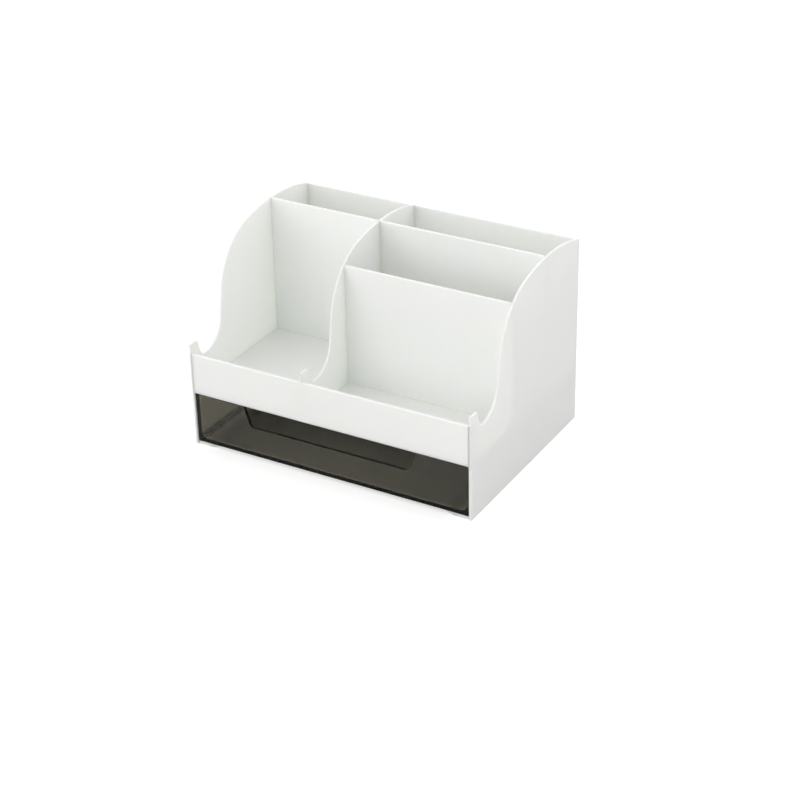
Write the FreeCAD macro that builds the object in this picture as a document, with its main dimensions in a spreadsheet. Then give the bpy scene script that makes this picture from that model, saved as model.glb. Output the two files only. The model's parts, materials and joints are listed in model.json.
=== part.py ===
"""Desk organizer with a drawer: five open compartments over one pull-out tray.

Frame: millimetres, +Z up, the front looks along -Y, the origin is the middle of the base.
Every panel is drawn in its own corner of the organizer (left, front, bottom = 0, 0, 0)
and put in its place by its Placement.
"""
import FreeCAD, Part
import math
import os
import Sketcher
from FreeCAD import Placement, Rotation, Vector
from types import SimpleNamespace

DOCUMENT = "desk_organizer"
PARTS_FOLDER = "parts"

# name, value in mm (angles in degrees), what it measures
SIZES = [
    ("width", 160.0, "outside, over both side panels"),
    ("depth", 115.0, "outside, front face to back face"),
    ("height", 107.0, "base to the top of the panels' crown"),
    ("side_wall", 1.4, "thickness of a side panel"),
    ("divider_wall", 1.2, "thickness of the middle divider"),
    ("back_wall", 1.4, "thickness of the back panel"),
    ("fascia_wall", 1.5, "thickness of the front fascia"),
    ("cross_wall", 1.3, "thickness of each cross wall"),
    ("deck_wall", 1.6, "thickness of the deck under the compartments"),
    ("edge_round", 0.35, "rounding of the outer free edges"),
    ("edge_break", 0.3, "bevel of the inner free edges"),
    ("left_bay", 64.0, "inside width of the left compartments"),
    ("deck_base", 29.8, "base to the underside of deck and fascia"),
    ("fascia_top", 51.8, "base to the top edge of the fascia"),
    ("rear_wall_y", 78.0, "front face to the rear cross walls"),
    ("step_wall_y", 43.0, "front face to the step wall of the right bay"),
    ("crown_y", 82.5, "front face to the highest point of the crown"),
    ("crown_radius", 103.0, "long curve over the rear compartments"),
    ("shoulder_radius", 36.0, "curve from the crown down to the front slope"),
    ("front_slope", 81.4, "slope of the straight stretch below the shoulder"),
    ("notch_y", 12.6, "front face to the lowest point of the notch"),
    ("notch_height", 47.3, "base to the lowest point of the notch"),
    ("notch_radius", 15.6, "sweep from the notch up to the front slope"),
    ("notch_root", 4.5, "corner between the notch and the horn"),
    ("horn_height", 57.0, "base to the flat tip of the horn"),
    ("horn_lean", 18.0, "lean of the horn's rear flank from upright"),
    ("horn_corner", 1.0, "rounding of the horn's rear corner"),
    ("foot_corner", 0.9, "rounding of a side panel's lower front corner"),
    ("rail_width", 13.0, "width of the ledge that carries the drawer"),
    ("rail_height", 1.7, "base to the top of the ledge"),
    ("rail_foot", 6.5, "width of the ledge where it meets the table"),
    ("drawer_lift", 0.3, "running gap between ledge and drawer"),
    ("drawer_gap", 0.4, "running gap at each side of the drawer"),
    ("drawer_headroom", 0.5, "gap between the drawer's rim and the deck"),
    ("drawer_setback", 0.2, "front face to the drawer's front"),
    ("drawer_rear_gap", 0.5, "gap between the drawer and the back panel"),
    ("drawer_front", 2.0, "thickness of the drawer's front"),
    ("drawer_wall", 1.2, "thickness of the drawer's other walls"),
    ("drawer_floor", 1.3, "thickness of the drawer's floor"),
    ("drawer_floor_round", 3.7, "inside curve from the side walls to the floor"),
    ("drawer_corner_round", 1.0, "inside curve round the front and the rear wall"),
    ("drawer_edge_round", 0.5, "rounding of the drawer's outer edges"),
    ("drawer_rim_round", 0.35, "rounding of the drawer's rim"),
    ("pull_top", 98.0, "width of the finger cut-out at the rim"),
    ("pull_bottom", 90.6, "width of the finger cut-out at its base"),
    ("pull_depth", 11.1, "rim to the base of the finger cut-out"),
    ("pull_corner", 3.0, "rounding of the cut-out's lower corners"),
]

# where pieces seat, written with the sizes above
DECK_TOP = "(sizes.deck_base + sizes.deck_wall)"
INSIDE_WIDTH = "(sizes.width - 2 * sizes.side_wall)"
INSIDE_DEPTH = "(sizes.depth - sizes.back_wall)"
LEFT_INSIDE = "(sizes.side_wall - sizes.width / 2)"
DIVIDER_LEFT = f"({LEFT_INSIDE} + sizes.left_bay)"
DIVIDER_RIGHT = f"({DIVIDER_LEFT} + sizes.divider_wall)"
RIGHT_BAY = f"({INSIDE_WIDTH} - sizes.left_bay - sizes.divider_wall)"
FRONT = "(-sizes.depth / 2)"
CREST = "left_side_profile.Constraints."
DRAWER_BASE = "(sizes.rail_height + sizes.drawer_lift)"
DRAWER_WIDTH = f"({INSIDE_WIDTH} - 2 * sizes.drawer_gap)"
DRAWER_DEPTH = f"({INSIDE_DEPTH} - sizes.drawer_setback - sizes.drawer_rear_gap)"
DRAWER_HEIGHT = f"(sizes.deck_base - sizes.drawer_headroom - {DRAWER_BASE})"

# Sketcher's numbers for its own axes and for the points of a line or arc
ACROSS = -1
UPRIGHT = -2
START = 1
END = 2
CENTRE = 3

# an arc's own angles, in degrees
HIGH_POINT = 90
FRONT_POINT = 180
LOW_POINT = 270

NEAR = 1e-4
# the side of a rectangle before its expressions are read
FIRST_GUESS = 10.0
SIZE_OF = {"PartDesign::Fillet": "Radius", "PartDesign::Chamfer": "Size"}


# ---------------------------------------------------------------- document and sheet
def make_sheet(doc):
    """Put the driving sizes in a spreadsheet, one alias a row."""
    sheet = doc.addObject("Spreadsheet::Sheet", "sizes")
    for row, (name, value, meaning) in enumerate(SIZES, start=1):
        sheet.set(f"A{row}", name)
        sheet.set(f"B{row}", str(value))
        sheet.set(f"C{row}", meaning)
        sheet.setAlias(f"B{row}", name)
    doc.recompute()
    return sheet


def new_body(doc, label, x="0", y=FRONT, z="0"):
    """Add a body whose Placement follows three expressions."""
    body = doc.addObject("PartDesign::Body", label)
    body.Label = label
    body.setExpression("Placement.Base.x", x)
    body.setExpression("Placement.Base.y", y)
    body.setExpression("Placement.Base.z", z)
    return body


def new_sketch(body, role, name):
    """Add a sketch on one of the body's own origin planes."""
    sketch = body.newObject("Sketcher::SketchObject", name)
    plane = [item for item in body.Origin.OriginFeatures if item.Role == role][0]
    sketch.AttachmentSupport = [(plane, "")]
    sketch.MapMode = "FlatFace"
    return sketch


# ---------------------------------------------------------------- sketch helpers
def point(across, up):
    return Vector(across, up, 0)


def add_line(sketch, start, end, construction=False):
    return sketch.addGeometry(Part.LineSegment(start, end), construction)


def add_arc(sketch, centre, radius, first, last):
    """Add the arc that runs counter-clockwise from one angle to another, in degrees."""
    circle = Part.Circle(centre, Vector(0, 0, 1), radius)
    arc = Part.ArcOfCircle(circle, math.radians(first), math.radians(last))
    return sketch.addGeometry(arc, False)


def rule(sketch, *terms):
    """Add a constraint that has no size."""
    sketch.addConstraint(Sketcher.Constraint(*terms))


def measure(sketch, name, expression, *terms):
    """Add a named dimension that follows an expression."""
    index = sketch.addConstraint(Sketcher.Constraint(*terms))
    sketch.renameConstraint(index, name)
    sketch.setExpression(f"Constraints.{name}", expression)


def report(sketch, name, *terms):
    """Add a named dimension that is only read."""
    index = sketch.addConstraint(Sketcher.Constraint(*terms))
    sketch.setDriving(index, False)
    sketch.renameConstraint(index, name)


def draw_box(sketch, low, high):
    """Draw four joined sides, the lower one first, level and upright."""
    corners = [low, point(high.x, low.y), high, point(low.x, high.y)]
    sides = []
    for start, end in zip(corners, corners[1:] + corners[:1]):
        sides.append(add_line(sketch, start, end))
    for side, following in zip(sides, sides[1:] + sides[:1]):
        rule(sketch, "Coincident", side, END, following, START)
    for side, direction in zip(sides, ["Horizontal", "Vertical"] * 2):
        rule(sketch, direction, side)
    return sides


def rectangle(sketch, across, up):
    """Draw a rectangle from the sketch's origin, sized by two expressions."""
    sides = draw_box(sketch, point(0, 0), point(FIRST_GUESS, FIRST_GUESS))
    rule(sketch, "Coincident", sides[0], START, ACROSS, START)
    measure(sketch, "across", across, "DistanceX", sides[0], START, sides[0], END, FIRST_GUESS)
    measure(sketch, "up", up, "DistanceY", sides[1], START, sides[1], END, FIRST_GUESS)


# ---------------------------------------------------------------- feature helpers
def add_pad(body, sketch, name, length, reverse=False):
    pad = body.newObject("PartDesign::Pad", name)
    pad.Profile = sketch
    pad.Reversed = reverse
    pad.setExpression("Length", length)
    sketch.Visibility = False
    body.Document.recompute()
    return pad


def add_pocket(body, sketch, name, length, reverse=False):
    """Cut a pocket and make sure that it took material away."""
    before = body.Shape.Volume
    pocket = body.newObject("PartDesign::Pocket", name)
    pocket.Profile = sketch
    pocket.Reversed = reverse
    pocket.setExpression("Length", length)
    body.Document.recompute()
    if body.Shape.Volume > before - NEAR:
        raise RuntimeError(f"{name} cuts nothing")
    return pocket


def dress(body, kind, base, name, size, wanted):
    """Round or bevel the edges of a feature for which wanted(edge) is true."""
    names = []
    for number, edge in enumerate(base.Shape.Edges, start=1):
        if wanted(edge):
            names.append(f"Edge{number}")
    if not names:
        raise RuntimeError(f"{name} finds no edge")
    feature = body.newObject(kind, name)
    feature.Base = (base, names)
    feature.setExpression(SIZE_OF[kind], size)
    body.Document.recompute()
    return feature


def add_fillet(body, base, name, radius, wanted):
    return dress(body, "PartDesign::Fillet", base, name, radius, wanted)


def add_chamfer(body, base, name, size, wanted):
    return dress(body, "PartDesign::Chamfer", base, name, size, wanted)


def lies_in(edge, axis, level):
    """True if the whole edge lies in the plane axis = level."""
    low = [edge.BoundBox.XMin, edge.BoundBox.YMin, edge.BoundBox.ZMin][axis]
    high = [edge.BoundBox.XMax, edge.BoundBox.YMax, edge.BoundBox.ZMax][axis]
    return abs(low - level) < NEAR and abs(high - level) < NEAR


# ---------------------------------------------------------------- the curved outline
def crest_points(value):
    """Centres and angles of the curved top edge, from the front horn to the rear corner."""
    slope = math.radians(value.front_slope)
    along = Vector(math.cos(slope), math.sin(slope), 0)
    outward = Vector(-math.sin(slope), math.cos(slope), 0)
    notch_centre = point(value.notch_y, value.notch_height + value.notch_radius)
    slope_start = notch_centre - outward * value.notch_radius
    crown_centre = point(value.crown_y, value.height - value.crown_radius)
    # the shoulder touches the slope and, from inside, the crown
    reach = slope_start - outward * value.shoulder_radius - crown_centre
    spread = value.crown_radius - value.shoulder_radius
    step = -reach.dot(along) + math.sqrt(reach.dot(along) ** 2 - reach.dot(reach) + spread ** 2)
    shoulder_centre = crown_centre + reach + along * step
    meeting = shoulder_centre - crown_centre
    return {
        "notch_centre": notch_centre,
        "slope_start": slope_start,
        "slope_end": slope_start + along * step,
        "shoulder_centre": shoulder_centre,
        "crown_centre": crown_centre,
        "crown_first": math.degrees(math.atan2(meeting.y, meeting.x)),
    }


def draw_crest(sketch, value, rear_y):
    """Draw horn tip, notch, slope, shoulder and crown as one tangent chain.

    rear_y is where the crown ends. Returns the horn's top line and the crown's arc.
    """
    spot = crest_points(value)
    lean = math.radians(value.horn_lean)
    flank_normal = Vector(math.cos(lean), math.sin(lean), 0)
    down = Vector(math.sin(lean), -math.cos(lean), 0)
    root_centre = point(value.notch_y, value.notch_height + value.notch_root)
    flank_low = root_centre - flank_normal * value.notch_root
    corner_height = value.horn_height - value.horn_corner
    flank_high_up = corner_height + value.horn_corner * math.sin(lean)
    flank_high = flank_low - down * ((flank_high_up - flank_low.y) / math.cos(lean))
    corner_centre = flank_high - flank_normal * value.horn_corner
    rear_angle = math.degrees(math.acos((rear_y - value.crown_y) / value.crown_radius))

    tip = add_line(sketch, point(0, value.horn_height), point(corner_centre.x, value.horn_height))
    corner = add_arc(sketch, corner_centre, value.horn_corner, value.horn_lean, HIGH_POINT)
    flank = add_line(sketch, flank_low, flank_high)
    root = add_arc(sketch, root_centre, value.notch_root,
                   FRONT_POINT + value.horn_lean, LOW_POINT)
    notch = add_arc(sketch, spot["notch_centre"], value.notch_radius,
                    LOW_POINT, LOW_POINT + value.front_slope)
    slope = add_line(sketch, spot["slope_start"], spot["slope_end"])
    shoulder = add_arc(sketch, spot["shoulder_centre"], value.shoulder_radius,
                       spot["crown_first"], HIGH_POINT + value.front_slope)
    crown = add_arc(sketch, spot["crown_centre"], value.crown_radius,
                    rear_angle, spot["crown_first"])

    rule(sketch, "Horizontal", tip)
    rule(sketch, "Tangent", tip, END, corner, END)
    rule(sketch, "Tangent", corner, START, flank, END)
    rule(sketch, "Tangent", flank, START, root, START)
    rule(sketch, "Tangent", root, END, notch, START)
    rule(sketch, "Tangent", notch, END, slope, START)
    rule(sketch, "Tangent", slope, END, shoulder, END)
    rule(sketch, "Tangent", shoulder, START, crown, END)
    rule(sketch, "PointOnObject", tip, START, UPRIGHT)
    rule(sketch, "Vertical", notch, CENTRE, notch, START)

    measure(sketch, "horn_height", "sizes.horn_height",
            "DistanceY", ACROSS, START, tip, START, value.horn_height)
    measure(sketch, "horn_corner", "sizes.horn_corner", "Radius", corner, value.horn_corner)
    measure(sketch, "horn_lean", "(90 + sizes.horn_lean) * 1deg",
            "Angle", flank, math.radians(90 + value.horn_lean))
    measure(sketch, "notch_root", "sizes.notch_root", "Radius", root, value.notch_root)
    measure(sketch, "notch_y", "sizes.notch_y",
            "DistanceX", ACROSS, START, notch, START, value.notch_y)
    measure(sketch, "notch_height", "sizes.notch_height",
            "DistanceY", ACROSS, START, notch, START, value.notch_height)
    measure(sketch, "notch_radius", "sizes.notch_radius", "Radius", notch, value.notch_radius)
    measure(sketch, "front_slope", "sizes.front_slope * 1deg",
            "Angle", slope, math.radians(value.front_slope))
    measure(sketch, "shoulder_radius", "sizes.shoulder_radius",
            "Radius", shoulder, value.shoulder_radius)
    measure(sketch, "crown_radius", "sizes.crown_radius", "Radius", crown, value.crown_radius)

    # a construction line marks the crown's highest point
    peak = add_line(sketch, spot["crown_centre"], point(value.crown_y, value.height), True)
    rule(sketch, "Coincident", peak, START, crown, CENTRE)
    rule(sketch, "Vertical", peak)
    rule(sketch, "PointOnObject", peak, END, crown)
    measure(sketch, "crown_y", "sizes.crown_y",
            "DistanceX", ACROSS, START, peak, END, value.crown_y)
    measure(sketch, "crown_top", "sizes.height",
            "DistanceY", ACROSS, START, peak, END, value.height)
    return tip, shoulder, crown


def crest_height(value, y):
    """Height of the shoulder or crown above the base at a distance from the front."""
    spot = crest_points(value)
    centre, radius = spot["crown_centre"], value.crown_radius
    meeting_y = centre.x + radius * math.cos(math.radians(spot["crown_first"]))
    if y < meeting_y:
        centre, radius = spot["shoulder_centre"], value.shoulder_radius
    return centre.y + math.sqrt(radius ** 2 - (y - centre.x) ** 2)


def read_height(sketch, value, name, curve, y_name):
    """Read the crest's height where a cross wall meets it, off a construction line."""
    y = getattr(value, y_name)
    height = crest_height(value, y)
    mast = add_line(sketch, point(y, 0), point(y, height), True)
    rule(sketch, "PointOnObject", mast, START, ACROSS)
    rule(sketch, "Vertical", mast)
    rule(sketch, "PointOnObject", mast, END, curve)
    measure(sketch, f"{name}_at", f"sizes.{y_name}", "DistanceX", ACROSS, START, mast, END, y)
    report(sketch, name, "DistanceY", mast, START, mast, END, height)


# ---------------------------------------------------------------- panels
def draw_side_outline(sketch, value):
    """Outline of a side panel, from the table up to the crest."""
    tip, shoulder, crown = draw_crest(sketch, value, value.depth)
    rear_top = crest_height(value, value.depth)
    foot_centre = point(value.foot_corner, value.foot_corner)
    foot = add_arc(sketch, foot_centre, value.foot_corner, FRONT_POINT, LOW_POINT)
    front = add_line(sketch, point(0, value.foot_corner), point(0, value.horn_height))
    rear = add_line(sketch, point(value.depth, rear_top), point(value.depth, 0))
    base = add_line(sketch, point(value.depth, 0), point(value.foot_corner, 0))
    rule(sketch, "Tangent", base, END, foot, END)
    rule(sketch, "Tangent", foot, START, front, START)
    rule(sketch, "Coincident", front, END, tip, START)
    rule(sketch, "Coincident", crown, START, rear, START)
    rule(sketch, "Coincident", rear, END, base, START)
    rule(sketch, "Vertical", front)
    rule(sketch, "Vertical", rear)
    rule(sketch, "PointOnObject", base, START, ACROSS)
    rule(sketch, "PointOnObject", base, END, ACROSS)
    measure(sketch, "foot_corner", "sizes.foot_corner", "Radius", foot, value.foot_corner)
    measure(sketch, "depth", "sizes.depth", "DistanceX", ACROSS, START, rear, END, value.depth)
    read_height(sketch, value, "step_wall_top", shoulder, "step_wall_y")
    read_height(sketch, value, "rear_wall_top", crown, "rear_wall_y")
    report(sketch, "rear_top", "DistanceY", rear, END, rear, START, rear_top)


def draw_divider_outline(sketch, value):
    """Outline of the divider: it stands on the deck and steps over the fascia."""
    rear_y = value.depth - value.back_wall
    deck_top = value.deck_base + value.deck_wall
    tip, shoulder, crown = draw_crest(sketch, value, rear_y)
    corners = [
        point(rear_y, crest_height(value, rear_y)),
        point(rear_y, deck_top),
        point(value.fascia_wall, deck_top),
        point(value.fascia_wall, value.fascia_top),
        point(0, value.fascia_top),
        point(0, value.horn_height),
    ]
    rear, base, back_step, step, front = [
        add_line(sketch, corners[i], corners[i + 1]) for i in range(5)
    ]
    rule(sketch, "Coincident", crown, START, rear, START)
    for first, second in [(rear, base), (base, back_step), (back_step, step), (step, front)]:
        rule(sketch, "Coincident", first, END, second, START)
    rule(sketch, "Coincident", front, END, tip, START)
    for upright in (rear, back_step, front):
        rule(sketch, "Vertical", upright)
    for level in (base, step):
        rule(sketch, "Horizontal", level)
    measure(sketch, "inside_depth", INSIDE_DEPTH, "DistanceX", ACROSS, START, rear, END, rear_y)
    measure(sketch, "deck_top", DECK_TOP, "DistanceY", ACROSS, START, base, END, deck_top)
    measure(sketch, "fascia_wall", "sizes.fascia_wall",
            "DistanceX", ACROSS, START, back_step, END, value.fascia_wall)
    measure(sketch, "fascia_top", "sizes.fascia_top",
            "DistanceY", ACROSS, START, back_step, END, value.fascia_top)


def make_side_panel(doc, value):
    """The left side panel, padded inwards from its outer face."""
    body = new_body(doc, "left_side_panel", "-sizes.width / 2")
    sketch = new_sketch(body, "YZ_Plane", "left_side_profile")
    draw_side_outline(sketch, value)
    pad = add_pad(body, sketch, "left_side_panel_pad", "sizes.side_wall")

    def is_outer(edge):
        return lies_in(edge, 0, 0)

    def is_inner(edge):
        box = edge.BoundBox
        on_table = box.ZMax < value.foot_corner + NEAR
        at_front = box.YMax < NEAR
        at_rear = box.YMin > value.depth - NEAR
        return lies_in(edge, 0, value.side_wall) and not (on_table or at_front or at_rear)

    outer = add_fillet(body, pad, "left_side_panel_outer_edges", "sizes.edge_round", is_outer)
    add_chamfer(body, outer, "left_side_panel_inner_edges", "sizes.edge_break", is_inner)
    return body


def make_mirror(doc, source, label):
    """The right-hand twin of a left-hand piece."""
    twin = doc.addObject("Part::Mirroring", label)
    twin.Label = label
    twin.Source = source
    twin.Normal = Vector(1, 0, 0)
    doc.recompute()
    return twin


def make_divider(doc, value):
    """The divider between the left and the right compartments."""
    body = new_body(doc, "middle_divider", DIVIDER_LEFT)
    sketch = new_sketch(body, "YZ_Plane", "middle_divider_profile")
    draw_divider_outline(sketch, value)
    pad = add_pad(body, sketch, "middle_divider_pad", "sizes.divider_wall")

    def is_free(edge):
        box = edge.BoundBox
        on_face = lies_in(edge, 0, 0) or lies_in(edge, 0, value.divider_wall)
        above_notch = box.ZMin > value.notch_height - NEAR
        return on_face and above_notch and box.ZMax > value.fascia_top + NEAR

    add_chamfer(body, pad, "middle_divider_edges", "sizes.edge_break", is_free)
    return body


def make_wall(doc, label, width, height, thickness, place):
    """An upright plate across the organizer, with its top edges rounded.

    The sizes are expressions. place holds the x, y and z of its left, front, lower corner.
    """
    body = new_body(doc, label, *place)
    sketch = new_sketch(body, "XZ_Plane", f"{label}_outline")
    rectangle(sketch, width, height)
    pad = add_pad(body, sketch, f"{label}_pad", thickness, reverse=True)
    top = pad.Shape.BoundBox.ZMax

    def is_top(edge):
        return lies_in(edge, 2, top) and edge.BoundBox.YLength < NEAR

    add_fillet(body, pad, f"{label}_edges", "sizes.edge_round", is_top)
    return body


def make_deck(doc):
    """The plate that is the floor of the compartments and the roof of the drawer's bay."""
    body = new_body(doc, "compartment_deck", LEFT_INSIDE,
                    f"{FRONT} + sizes.fascia_wall", "sizes.deck_base")
    sketch = new_sketch(body, "XY_Plane", "compartment_deck_outline")
    rectangle(sketch, INSIDE_WIDTH, f"{INSIDE_DEPTH} - sizes.fascia_wall")
    add_pad(body, sketch, "compartment_deck_pad", "sizes.deck_wall")
    return body


def make_rail(doc, value):
    """The ledge along the left panel's foot: flat on top, its inner edge swept up."""
    label = "left_drawer_rail"
    body = new_body(doc, label, LEFT_INSIDE, f"{FRONT} + sizes.foot_corner")
    sketch = new_sketch(body, "XZ_Plane", f"{label}_section")
    sweep = value.rail_width - value.rail_foot
    radius = (sweep ** 2 + value.rail_height ** 2) / (2 * value.rail_height)
    rise = math.degrees(math.asin(sweep / radius))
    base = add_line(sketch, point(0, 0), point(value.rail_foot, 0))
    curve = add_arc(sketch, point(value.rail_foot, radius), radius, LOW_POINT, LOW_POINT + rise)
    top = add_line(sketch, point(value.rail_width, value.rail_height), point(0, value.rail_height))
    wall = add_line(sketch, point(0, value.rail_height), point(0, 0))
    rule(sketch, "Tangent", base, END, curve, START)
    rule(sketch, "Coincident", curve, END, top, START)
    rule(sketch, "Coincident", top, END, wall, START)
    rule(sketch, "Coincident", wall, END, base, START)
    rule(sketch, "Coincident", base, START, ACROSS, START)
    rule(sketch, "Horizontal", base)
    rule(sketch, "Horizontal", top)
    rule(sketch, "Vertical", wall)
    measure(sketch, "foot", "sizes.rail_foot",
            "DistanceX", base, START, base, END, value.rail_foot)
    measure(sketch, "width", "sizes.rail_width",
            "DistanceX", ACROSS, START, curve, END, value.rail_width)
    measure(sketch, "height", "sizes.rail_height",
            "DistanceY", ACROSS, START, curve, END, value.rail_height)
    add_pad(body, sketch, f"{label}_pad", f"{INSIDE_DEPTH} - sizes.foot_corner", reverse=True)
    return body


# ---------------------------------------------------------------- drawer
def draw_pull(sketch, value, width, height):
    """Outline of the finger cut-out: sloping ends, round lower corners, open at the rim."""
    middle = width / 2
    base_up = height - value.pull_depth
    half_top = value.pull_top / 2
    half_base = value.pull_bottom / 2
    lean = math.atan2(half_top - half_base, value.pull_depth)
    tangent = value.pull_corner * math.tan((math.pi / 2 - lean) / 2)
    along = Vector(math.sin(lean), math.cos(lean), 0)
    corners = {}
    for side in (-1, 1):
        root = point(middle + side * half_base, base_up)
        corners[side] = {
            "flat": root - point(side * tangent, 0),
            "steep": root + Vector(side * along.x, along.y, 0) * tangent,
            "rim": root + Vector(side * along.x, along.y, 0) * (value.pull_depth / math.cos(lean)),
            "centre": root - point(side * tangent, -value.pull_corner),
        }
    left, right = corners[-1], corners[1]
    turn = math.degrees(math.pi / 2 - lean)
    over = point(0, value.pull_depth)
    base = add_line(sketch, left["flat"], right["flat"])
    right_arc = add_arc(sketch, right["centre"], value.pull_corner, LOW_POINT, LOW_POINT + turn)
    right_end = add_line(sketch, right["steep"], right["rim"])
    right_up = add_line(sketch, right["rim"], right["rim"] + over)
    lid = add_line(sketch, right["rim"] + over, left["rim"] + over)
    left_up = add_line(sketch, left["rim"] + over, left["rim"])
    left_end = add_line(sketch, left["rim"], left["steep"])
    left_arc = add_arc(sketch, left["centre"], value.pull_corner, LOW_POINT - turn, LOW_POINT)
    rule(sketch, "Tangent", base, END, right_arc, START)
    rule(sketch, "Tangent", right_arc, END, right_end, START)
    rule(sketch, "Coincident", right_end, END, right_up, START)
    rule(sketch, "Coincident", right_up, END, lid, START)
    rule(sketch, "Coincident", lid, END, left_up, START)
    rule(sketch, "Coincident", left_up, END, left_end, START)
    rule(sketch, "Tangent", left_end, END, left_arc, START)
    rule(sketch, "Tangent", left_arc, END, base, START)
    rule(sketch, "Horizontal", lid)
    rule(sketch, "Vertical", right_up)
    rule(sketch, "Vertical", left_up)
    # a construction line across the rim and one down the middle keep the shape symmetric
    rim = add_line(sketch, left["rim"], right["rim"], True)
    rule(sketch, "Coincident", rim, START, left_end, START)
    rule(sketch, "Coincident", rim, END, right_end, END)
    centre_line = add_line(sketch, point(middle, base_up), point(middle, height), True)
    rule(sketch, "Vertical", centre_line)
    rule(sketch, "PointOnObject", centre_line, START, base)
    rule(sketch, "PointOnObject", centre_line, END, rim)
    rule(sketch, "Symmetric", rim, START, rim, END, centre_line)
    rule(sketch, "Symmetric", base, START, base, END, centre_line)
    rule(sketch, "Equal", left_arc, right_arc)
    measure(sketch, "middle", f"{DRAWER_WIDTH} / 2",
            "DistanceX", ACROSS, START, centre_line, END, middle)
    measure(sketch, "rim", DRAWER_HEIGHT, "DistanceY", ACROSS, START, rim, START, height)
    measure(sketch, "pull_top", "sizes.pull_top",
            "DistanceX", rim, START, rim, END, value.pull_top)
    measure(sketch, "pull_depth", "sizes.pull_depth",
            "DistanceY", centre_line, START, centre_line, END, value.pull_depth)
    measure(sketch, "pull_corner", "sizes.pull_corner", "Radius", right_arc, value.pull_corner)
    lean_expression = "atan2((sizes.pull_top - sizes.pull_bottom) / 2; sizes.pull_depth)"
    measure(sketch, "end_slope", f"90deg - {lean_expression}",
            "Angle", right_end, math.pi / 2 - lean)
    measure(sketch, "overrun", "sizes.pull_depth",
            "DistanceY", right_up, START, right_up, END, value.pull_depth)


def draw_drawer_well(sketch, value, width, depth):
    """Outline of the drawer's inside, inset by its walls from the outer rectangle."""
    low = point(value.drawer_wall, value.drawer_front)
    high = point(width - value.drawer_wall, depth - value.drawer_wall)
    sides = draw_box(sketch, low, high)
    measure(sketch, "left_wall", "sizes.drawer_wall",
            "DistanceX", ACROSS, START, sides[0], START, low.x)
    measure(sketch, "front_wall", "sizes.drawer_front",
            "DistanceY", ACROSS, START, sides[0], START, low.y)
    measure(sketch, "right_wall", f"{DRAWER_WIDTH} - sizes.drawer_wall",
            "DistanceX", ACROSS, START, sides[1], END, high.x)
    measure(sketch, "rear_wall", f"{DRAWER_DEPTH} - sizes.drawer_wall",
            "DistanceY", ACROSS, START, sides[1], END, high.y)


def make_drawer(doc, value):
    """The tray: one moulding with a flat front, a finger cut-out and a swept inside floor."""
    body = new_body(doc, "drawer_tray", f"{LEFT_INSIDE} + sizes.drawer_gap",
                    f"{FRONT} + sizes.drawer_setback", DRAWER_BASE)
    outline = new_sketch(body, "XY_Plane", "drawer_outline")
    rectangle(outline, DRAWER_WIDTH, DRAWER_DEPTH)
    block = add_pad(body, outline, "drawer_block", DRAWER_HEIGHT)
    width = block.Shape.BoundBox.XLength
    depth = block.Shape.BoundBox.YLength
    height = block.Shape.BoundBox.ZLength

    well = new_sketch(body, "XY_Plane", "drawer_well_outline")
    well.AttachmentOffset = Placement(Vector(0, 0, value.drawer_floor), Rotation())
    well.setExpression("AttachmentOffset.Base.z", "sizes.drawer_floor")
    draw_drawer_well(well, value, width, depth)
    cavity = add_pocket(body, well, "drawer_well", DRAWER_HEIGHT, reverse=True)

    low = Vector(value.drawer_wall, value.drawer_front, value.drawer_floor)
    high = Vector(width - value.drawer_wall, depth - value.drawer_wall, height)

    def is_side_floor_edge(edge):
        on_side = lies_in(edge, 0, low.x) or lies_in(edge, 0, high.x)
        return on_side and lies_in(edge, 2, low.z)

    sweep = add_fillet(body, cavity, "drawer_floor_sweep",
                       "sizes.drawer_floor_round", is_side_floor_edge)

    def is_well_end(edge):
        on_end = lies_in(edge, 1, low.y) or lies_in(edge, 1, high.y)
        return on_end and not lies_in(edge, 2, height)

    add_fillet(body, sweep, "drawer_well_corners", "sizes.drawer_corner_round", is_well_end)

    pull = new_sketch(body, "XZ_Plane", "drawer_pull_outline")
    draw_pull(pull, value, width, height)
    cut = add_pocket(body, pull, "drawer_pull",
                     "sizes.drawer_front + sizes.drawer_corner_round / 2")

    def is_rim(edge):
        box = edge.BoundBox
        across_front = box.XLength < NEAR and box.YMax < low.y + NEAR
        return lies_in(edge, 2, height) and not across_front

    def is_pull_edge(edge):
        box = edge.BoundBox
        at_face = lies_in(edge, 1, 0) or lies_in(edge, 1, value.drawer_front)
        between = box.XMin > NEAR and box.XMax < width - NEAR
        return at_face and between and box.ZMin > low.z + value.drawer_floor_round

    def is_top_edge(edge):
        return is_rim(edge) or is_pull_edge(edge)

    def is_outer(edge):
        box = edge.BoundBox
        on_side = lies_in(edge, 0, 0) or lies_in(edge, 0, width)
        on_end = lies_in(edge, 1, 0) or lies_in(edge, 1, depth)
        upright = box.ZLength > height / 2 and on_side and on_end
        under = lies_in(edge, 2, 0)
        return upright or under

    outer = add_fillet(body, cut, "drawer_outer_edges", "sizes.drawer_edge_round", is_outer)
    add_fillet(body, outer, "drawer_rim_edges", "sizes.drawer_rim_round", is_top_edge)
    return body


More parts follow.
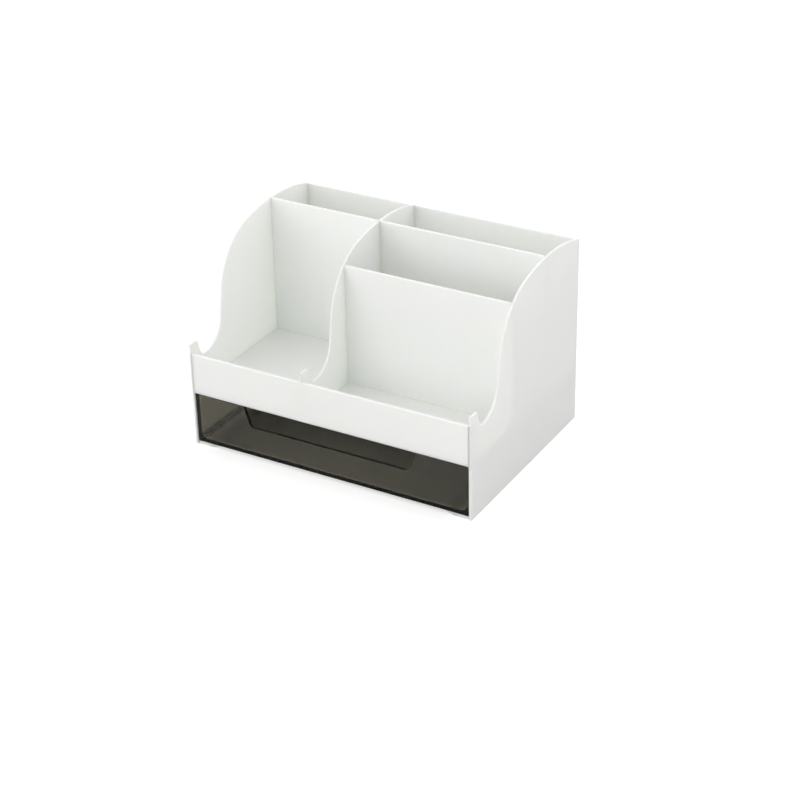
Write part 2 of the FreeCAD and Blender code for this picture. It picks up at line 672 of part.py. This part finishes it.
# ---------------------------------------------------------------- assembly
def make_walls(doc):
    """Build the upright plates that run across the organizer."""
    crest_to_deck = "{}{} / 1mm - {}"
    rear_rise = crest_to_deck.format(CREST, "rear_wall_top", DECK_TOP)
    step_rise = crest_to_deck.format(CREST, "step_wall_top", DECK_TOP)
    rear_y = f"{FRONT} + sizes.rear_wall_y"
    step_y = f"{FRONT} + sizes.step_wall_y"
    return [
        make_wall(doc, "back_panel", INSIDE_WIDTH, f"{CREST}rear_top", "sizes.back_wall",
                  (LEFT_INSIDE, f"{FRONT} + {INSIDE_DEPTH}", "0")),
        make_wall(doc, "front_fascia", INSIDE_WIDTH, "sizes.fascia_top - sizes.deck_base",
                  "sizes.fascia_wall", (LEFT_INSIDE, FRONT, "sizes.deck_base")),
        make_wall(doc, "rear_cross_wall_left", "sizes.left_bay", rear_rise,
                  "sizes.cross_wall", (LEFT_INSIDE, rear_y, DECK_TOP)),
        make_wall(doc, "rear_cross_wall_right", RIGHT_BAY, rear_rise,
                  "sizes.cross_wall", (DIVIDER_RIGHT, rear_y, DECK_TOP)),
        make_wall(doc, "step_wall_right", RIGHT_BAY, step_rise,
                  "sizes.cross_wall", (DIVIDER_RIGHT, step_y, DECK_TOP)),
    ]


def make_parts(doc, sheet):
    """Build every sub-part and return them."""
    value = SimpleNamespace(**{name: float(sheet.get(name)) for name, _, _ in SIZES})
    left_panel = make_side_panel(doc, value)
    left_rail = make_rail(doc, value)
    return [
        left_panel,
        make_mirror(doc, left_panel, "right_side_panel"),
        left_rail,
        make_mirror(doc, left_rail, "right_drawer_rail"),
        make_divider(doc, value),
        make_deck(doc),
        *make_walls(doc),
        make_drawer(doc, value),
    ]


def check(doc, bodies):
    """Stop if any object failed or any sub-part isn't one valid solid."""
    for item in doc.Objects:
        if "Invalid" in item.State or "Error" in item.State:
            raise RuntimeError(f"{item.Name} failed: {item.State}")
    for body in bodies:
        if body.Shape.isNull() or not body.Shape.isValid():
            raise RuntimeError(f"{body.Label} has no valid shape")
        if len(body.Shape.Solids) != 1:
            raise RuntimeError(f"{body.Label} has {len(body.Shape.Solids)} solids")


def main():
    doc = FreeCAD.newDocument(DOCUMENT)
    sheet = make_sheet(doc)
    bodies = make_parts(doc, sheet)
    doc.recompute()
    check(doc, bodies)
    os.makedirs(PARTS_FOLDER, exist_ok=True)
    for body in bodies:
        body.Shape.exportStep(os.path.join(PARTS_FOLDER, f"{body.Label}.step"))
        box = body.Shape.optimalBoundingBox(False)
        print(f"{body.Label:22s}"
              f" x {box.XMin:7.2f} {box.XMax:7.2f}"
              f" y {box.YMin:7.2f} {box.YMax:7.2f}"
              f" z {box.ZMin:7.2f} {box.ZMax:7.2f}"
              f" volume {body.Shape.Volume:9.1f}")


main()
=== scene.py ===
"""Looks for the desk organizer: satin white housing, clear smoked drawer, pale studio."""
import json
import math

import bpy
from mathutils import Matrix, Vector


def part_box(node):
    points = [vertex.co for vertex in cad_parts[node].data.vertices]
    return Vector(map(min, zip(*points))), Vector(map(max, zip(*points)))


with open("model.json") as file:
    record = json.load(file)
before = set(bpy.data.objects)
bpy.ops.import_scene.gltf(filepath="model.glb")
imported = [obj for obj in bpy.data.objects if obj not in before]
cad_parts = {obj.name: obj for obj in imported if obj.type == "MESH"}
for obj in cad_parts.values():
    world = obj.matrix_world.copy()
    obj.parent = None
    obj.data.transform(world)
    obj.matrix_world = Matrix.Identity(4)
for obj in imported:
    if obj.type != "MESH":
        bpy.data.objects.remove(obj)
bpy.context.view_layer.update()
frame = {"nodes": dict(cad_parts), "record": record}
scene = bpy.context.scene

IMAGE_PIXELS = 800.0
SENSOR_MM = 36.0

# the camera: focal length in pixels, angles in degrees, lengths in metres
FOCAL_PIXELS = 1992.78
AZIMUTH = 30.3894
ELEVATION = 28.8221
ROLL = -1.2789
TARGET = Vector((0.0, 0.0, 0.050))
OFFSET = Vector((-0.0076823, 0.0282574))
DISTANCE = 1.0064687
CLIP_NEAR = 0.01
CLIP_FAR = 30.0

# the dome's light: an even part, and soft lobes as (direction, strength, sharpness)
DOME_BASE = 0.60
DOME_LOBES = [
    ((-0.7, -0.7, 0.15), 1.60, 6.0),
    ((0.0, 1.0, 0.0), 0.78, 1.0),
    ((0.0, 0.0, 1.0), 0.26, 1.0),
    ((1.0, 0.0, 0.0), 0.08, 1.0),
]
DOME_COLOUR = (1.0, 1.0, 0.995, 1.0)

# the floor: half its width in metres, its colour where it is seen and where it lights
# surfaces, and how much lighter it is for rays that only look at it
FLOOR_REACH = 6.0
FLOOR_SEEN = (0.74, 0.74, 0.74, 1.0)
FLOOR_LIGHTING = (0.66, 0.66, 0.635, 1.0)
FLOOR_LIFT = {"Is Camera Ray": 0.52, "Is Transmission Ray": 0.02}
WHITE = (1.0, 1.0, 1.0, 1.0)

# the white plastic: shades as display values, noises as (scale, detail and, for one,
# roughness), lengths in metres
WHITE_SHADES = ((248, 251, 246), (250, 253, 248))
WHITE_CLOUD = (35.0, 4.0)
WHITE_GRAIN = (900.0, 2.0)
WHITE_WEAR = (60.0, 5.0, 0.6)
WHITE_ROUGHNESS = (0.30, 0.40)
GRAIN_ROUGHNESS = 0.05
WHITE_BUMP = {"Strength": 0.12, "Distance": 0.00006}
WHITE_IOR = 1.5
SCATTER_DEPTH = 0.0016
SCATTER_RADIUS = (1.0, 1.0, 0.9)
CORNER_REACH = 0.0030
CORNER_OPENNESS = (0.60, 0.95)
SOFT_EDGE = 0.0004
SAMPLES = 6

# the smoked plastic, in the same way
SMOKE_CLOUD = (50.0, 4.0)
SMOKE_WEAR = (120.0, 4.0)
SMOKE_WAVES = (260.0, 2.0)
SMOKE_ROUGHNESS = (0.03, 0.07)
SMOKE_BUMP = {"Strength": 0.08, "Distance": 0.00005}
SMOKE_IOR = 1.4
SMOKE_SPECULAR = 0.3
SMOKE_TINTS = ((0.93, 0.93, 0.92, 1.0), (0.97, 0.97, 0.96, 1.0))
SMOKE_ABSORPTION = (0.55, 0.515, 0.37, 1.0)
SMOKE_DENSITY = 320.0

# noise stays mostly inside this range
NOISE_LOW = 0.3
NOISE_HIGH = 0.7

# how far a face turns to the rear, where scattering starts to stop and where it has
REARWARD = (0.5, 0.7)

# height of the drawer bay's roof, in metres
DECK_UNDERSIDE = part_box("compartment_deck")[0][2]

# distance of the side panels' inner faces from the middle, in metres
PANEL_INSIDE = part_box("right_side_panel")[0][0]

# where the divider's edge meets the fascia from behind, and the fascia's front, in metres
DIVIDER_MIDDLE = sum(corner[0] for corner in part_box("middle_divider")) / 2.0
FASCIA_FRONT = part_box("front_fascia")[0][1]
CONTACT_REACH = 0.0045


# ---------------------------------------------------------------- node helpers
class Nodes:
    """A material's or world's node tree, built node by node."""

    def __init__(self, owner):
        owner.use_nodes = True
        self.tree = owner.node_tree
        self.tree.nodes.clear()

    def add(self, kind, **settings):
        node = self.tree.nodes.new(kind)
        for name, value in settings.items():
            setattr(node, name, value)
        return node

    def link(self, source, target):
        self.tree.links.new(source, target)

    def feed(self, value, target):
        """Links another node's output, or sets a plain number or colour."""
        if isinstance(value, bpy.types.NodeSocket):
            self.link(value, target)
        else:
            target.default_value = value

    def put(self, node, **values):
        for name, value in values.items():
            node.inputs[name.replace("_", " ")].default_value = value

    def math(self, operation, *values):
        node = self.add("ShaderNodeMath", operation=operation)
        for socket, value in zip(node.inputs, values):
            self.feed(value, socket)
        return node.outputs[0]

    def noise(self, coordinates, scale, detail, roughness=0.5):
        node = self.add("ShaderNodeTexNoise")
        self.put(node, Scale=scale, Detail=detail, Roughness=roughness)
        self.link(coordinates, node.inputs["Vector"])
        return node.outputs["Fac"]

    def remap(self, value, low, high, from_low=NOISE_LOW, from_high=NOISE_HIGH):
        node = self.add("ShaderNodeMapRange")
        node.inputs["From Min"].default_value = from_low
        node.inputs["From Max"].default_value = from_high
        node.inputs["To Min"].default_value = low
        node.inputs["To Max"].default_value = high
        self.link(value, node.inputs["Value"])
        return node.outputs["Result"]

    def blend(self, factor, first, second):
        """A mix of two colours."""
        node = self.add("ShaderNodeMix", data_type="RGBA")
        self.link(factor, node.inputs["Factor"])
        self.feed(first, node.inputs[6])
        self.feed(second, node.inputs[7])
        return node.outputs[2]

    def mix(self, factor, first, second):
        """A mix of two shaders."""
        node = self.add("ShaderNodeMixShader")
        for socket, source in zip(node.inputs, (factor, first, second)):
            self.link(source, socket)
        return node.outputs[0]


def rgb(r, g, b):
    """A linear colour from display values of 0 to 255."""
    def linear(value):
        share = value / 255.0
        return share / 12.92 if share <= 0.04045 else ((share + 0.055) / 1.055) ** 2.4
    return (linear(r), linear(g), linear(b), 1.0)


def seen_rays(make, rays):
    """1 for camera, glossy and transmission rays, 0 for the rays that light surfaces."""
    total = rays.outputs["Is Camera Ray"]
    for name in ("Is Glossy Ray", "Is Transmission Ray"):
        total = make.math("MAXIMUM", total, rays.outputs[name])
    return total


# ---------------------------------------------------------------- materials
def scatter_share(make, place):
    """How much the white plastic scatters inside, from 0 to 1.

    Scattering stops short of the joints, where it would run into the next piece. In the
    drawer bay it doesn't, because the tray is near there and doesn't touch. On rearward
    faces it stops over the side panels' edges, and on the fascia's front it is eased where
    the divider touches it from behind.
    """
    corner = make.add("ShaderNodeAmbientOcclusion", samples=SAMPLES)
    make.put(corner, Distance=CORNER_REACH)
    open_spot = make.remap(corner.outputs["AO"], 0.0, 1.0, *CORNER_OPENNESS)
    spot = make.add("ShaderNodeSeparateXYZ")
    make.link(place, spot.inputs[0])
    in_bay = make.remap(spot.outputs["Z"], 1.0, 0.0, DECK_UNDERSIDE - 0.001, DECK_UNDERSIDE)
    share = make.math("MAXIMUM", open_spot, in_bay)

    facing = make.add("ShaderNodeSeparateXYZ")
    make.link(make.add("ShaderNodeNewGeometry").outputs["True Normal"], facing.inputs[0])
    not_rearward = make.remap(facing.outputs["Y"], 1.0, 0.0, *REARWARD)
    between_panels = make.remap(make.math("ABSOLUTE", spot.outputs["X"]), 1.0, 0.0,
                                PANEL_INSIDE - 0.002, PANEL_INSIDE - 0.001)
    share = make.math("MULTIPLY", share, make.math("MAXIMUM", not_rearward, between_panels))

    across = make.remap(spot.outputs["X"], -1.0, 1.0,
                        DIVIDER_MIDDLE - CONTACT_REACH, DIVIDER_MIDDLE + CONTACT_REACH)
    behind_front = make.remap(spot.outputs["Y"], 0.0, 1.0,
                              FASCIA_FRONT + 0.0002, FASCIA_FRONT + 0.0006)
    off_contact = make.math("MAXIMUM", make.math("ABSOLUTE", across), behind_front)
    return make.math("MULTIPLY", share, off_contact)


def white_plastic():
    """Injection-moulded polystyrene: warm white, satin, with a faint orange-peel skin."""
    material = bpy.data.materials.new("satin_white_plastic")
    make = Nodes(material)
    output = make.add("ShaderNodeOutputMaterial")
    shader = make.add("ShaderNodeBsdfPrincipled")
    make.link(shader.outputs["BSDF"], output.inputs["Surface"])
    make.put(shader, IOR=WHITE_IOR, Subsurface_Scale=SCATTER_DEPTH,
             Subsurface_Radius=SCATTER_RADIUS)
    place = make.add("ShaderNodeTexCoord").outputs["Object"]
    make.link(scatter_share(make, place), shader.inputs["Subsurface Weight"])

    cloud = make.noise(place, *WHITE_CLOUD)
    darker, lighter = (rgb(*shade) for shade in WHITE_SHADES)
    shade = make.blend(make.remap(cloud, 0.0, 1.0), darker, lighter)
    make.link(shade, shader.inputs["Base Color"])

    grain = make.noise(place, *WHITE_GRAIN)
    wear = make.noise(place, *WHITE_WEAR)
    rough = make.math("ADD", make.remap(wear, *WHITE_ROUGHNESS),
                      make.remap(grain, 0.0, GRAIN_ROUGHNESS))
    make.link(rough, shader.inputs["Roughness"])

    edge = make.add("ShaderNodeBevel", samples=SAMPLES)
    make.put(edge, Radius=SOFT_EDGE)
    bump = make.add("ShaderNodeBump")
    make.put(bump, **WHITE_BUMP)
    make.link(grain, bump.inputs["Height"])
    make.link(edge.outputs["Normal"], bump.inputs["Normal"])
    make.link(bump.outputs["Normal"], shader.inputs["Normal"])
    return material


def smoked_plastic():
    """Clear grey-brown polystyrene, darker where the eye looks along a wall."""
    material = bpy.data.materials.new("smoked_clear_plastic")
    make = Nodes(material)
    output = make.add("ShaderNodeOutputMaterial")
    shader = make.add("ShaderNodeBsdfPrincipled")
    make.link(shader.outputs["BSDF"], output.inputs["Surface"])
    make.put(shader, IOR=SMOKE_IOR, Transmission_Weight=1.0, Specular_IOR_Level=SMOKE_SPECULAR)
    absorption = make.add("ShaderNodeVolumeAbsorption")
    make.put(absorption, Color=SMOKE_ABSORPTION, Density=SMOKE_DENSITY)
    make.link(absorption.outputs["Volume"], output.inputs["Volume"])

    place = make.add("ShaderNodeTexCoord").outputs["Object"]
    cloud = make.noise(place, *SMOKE_CLOUD)
    tint = make.blend(make.remap(cloud, 0.0, 1.0), *SMOKE_TINTS)
    make.link(tint, shader.inputs["Base Color"])
    rough = make.remap(make.noise(place, *SMOKE_WEAR), *SMOKE_ROUGHNESS)
    make.link(rough, shader.inputs["Roughness"])

    bump = make.add("ShaderNodeBump")
    make.put(bump, **SMOKE_BUMP)
    make.link(make.noise(place, *SMOKE_WAVES), bump.inputs["Height"])
    make.link(bump.outputs["Normal"], shader.inputs["Normal"])
    return material


def floor_material():
    """Pale floor: it keeps the object's shadow and reads as white in the picture."""
    material = bpy.data.materials.new("studio_floor")
    make = Nodes(material)
    output = make.add("ShaderNodeOutputMaterial")
    rays = make.add("ShaderNodeLightPath")
    seen = make.add("ShaderNodeBsdfDiffuse")
    make.put(seen, Color=FLOOR_SEEN)
    lighting = make.add("ShaderNodeBsdfDiffuse")
    make.put(lighting, Color=FLOOR_LIGHTING)
    mixed = make.mix(seen_rays(make, rays), lighting.outputs[0], seen.outputs[0])

    lift = 0.0
    for name, strength in FLOOR_LIFT.items():
        lift = make.math("MULTIPLY_ADD", rays.outputs[name], strength, lift)
    glow = make.add("ShaderNodeEmission")
    make.put(glow, Color=WHITE)
    make.link(lift, glow.inputs["Strength"])
    both = make.add("ShaderNodeAddShader")
    make.link(mixed, both.inputs[0])
    make.link(glow.outputs[0], both.inputs[1])
    make.link(both.outputs[0], output.inputs["Surface"])
    return material


def dress(material, names):
    """Gives CAD nodes their finish."""
    for name in names:
        node = frame["nodes"][name]
        node.data.materials.clear()
        node.data.materials.append(material)


# ---------------------------------------------------------------- studio
def make_floor():
    mesh = bpy.data.meshes.new("floor")
    corners = [(x * FLOOR_REACH, y * FLOOR_REACH, 0.0)
               for x, y in ((-1, -1), (1, -1), (1, 1), (-1, 1))]
    mesh.from_pydata(corners, [], [(0, 1, 2, 3)])
    floor = bpy.data.objects.new("floor", mesh)
    scene.collection.objects.link(floor)
    mesh.materials.append(floor_material())


def dome_strength(make):
    """The even part plus each lobe's share, by the direction that a ray leaves in."""
    direction = make.add("ShaderNodeTexCoord").outputs["Generated"]
    total = DOME_BASE
    for axis, strength, sharpness in DOME_LOBES:
        facing = make.add("ShaderNodeVectorMath", operation="DOT_PRODUCT")
        facing.inputs[1].default_value = Vector(axis).normalized()
        make.link(direction, facing.inputs[0])
        ahead = make.remap(facing.outputs["Value"], 0.0, 1.0, 0.0, 1.0)
        lobe = make.math("POWER", ahead, sharpness)
        total = make.math("ADD", make.remap(lobe, 0.0, strength, 0.0, 1.0), total)
    return total


def make_world():
    """Even white surroundings: a soft dome for light, plain white where it is seen."""
    world = bpy.data.worlds.new("studio")
    scene.world = world
    make = Nodes(world)
    output = make.add("ShaderNodeOutputWorld")
    dome = make.add("ShaderNodeBackground")
    make.put(dome, Color=DOME_COLOUR)
    make.link(dome_strength(make), dome.inputs["Strength"])
    plain = make.add("ShaderNodeBackground")
    make.put(plain, Color=WHITE, Strength=1.0)
    rays = make.add("ShaderNodeLightPath")
    mixed = make.mix(seen_rays(make, rays), dome.outputs[0], plain.outputs[0])
    make.link(mixed, output.inputs["Surface"])


def make_camera():
    azimuth, elevation, roll = (math.radians(a) for a in (AZIMUTH, ELEVATION, ROLL))
    back = Vector((math.sin(azimuth) * math.cos(elevation),
                   -math.cos(azimuth) * math.cos(elevation),
                   math.sin(elevation)))
    level = Vector((math.cos(azimuth), math.sin(azimuth), 0.0))
    upward = back.cross(level)
    right = level * math.cos(roll) + upward * math.sin(roll)
    up = upward * math.cos(roll) - level * math.sin(roll)
    place = TARGET - right * OFFSET.x - up * OFFSET.y + back * DISTANCE
    data = bpy.data.cameras.new("camera")
    data.sensor_width = SENSOR_MM
    data.lens = FOCAL_PIXELS / IMAGE_PIXELS * SENSOR_MM
    data.clip_start = CLIP_NEAR
    data.clip_end = CLIP_FAR
    camera = bpy.data.objects.new("camera", data)
    camera.matrix_world = Matrix((
        (right.x, up.x, back.x, place.x),
        (right.y, up.y, back.y, place.y),
        (right.z, up.z, back.z, place.z),
        (0.0, 0.0, 0.0, 1.0),
    ))
    scene.collection.objects.link(camera)
    scene.camera = camera


scene.view_settings.view_transform = "Standard"
bodies = frame["record"]["behaviour"]["bodies"]
dress(white_plastic(), bodies["housing"])
dress(smoked_plastic(), bodies["drawer"])
make_floor()
make_world()
make_camera()
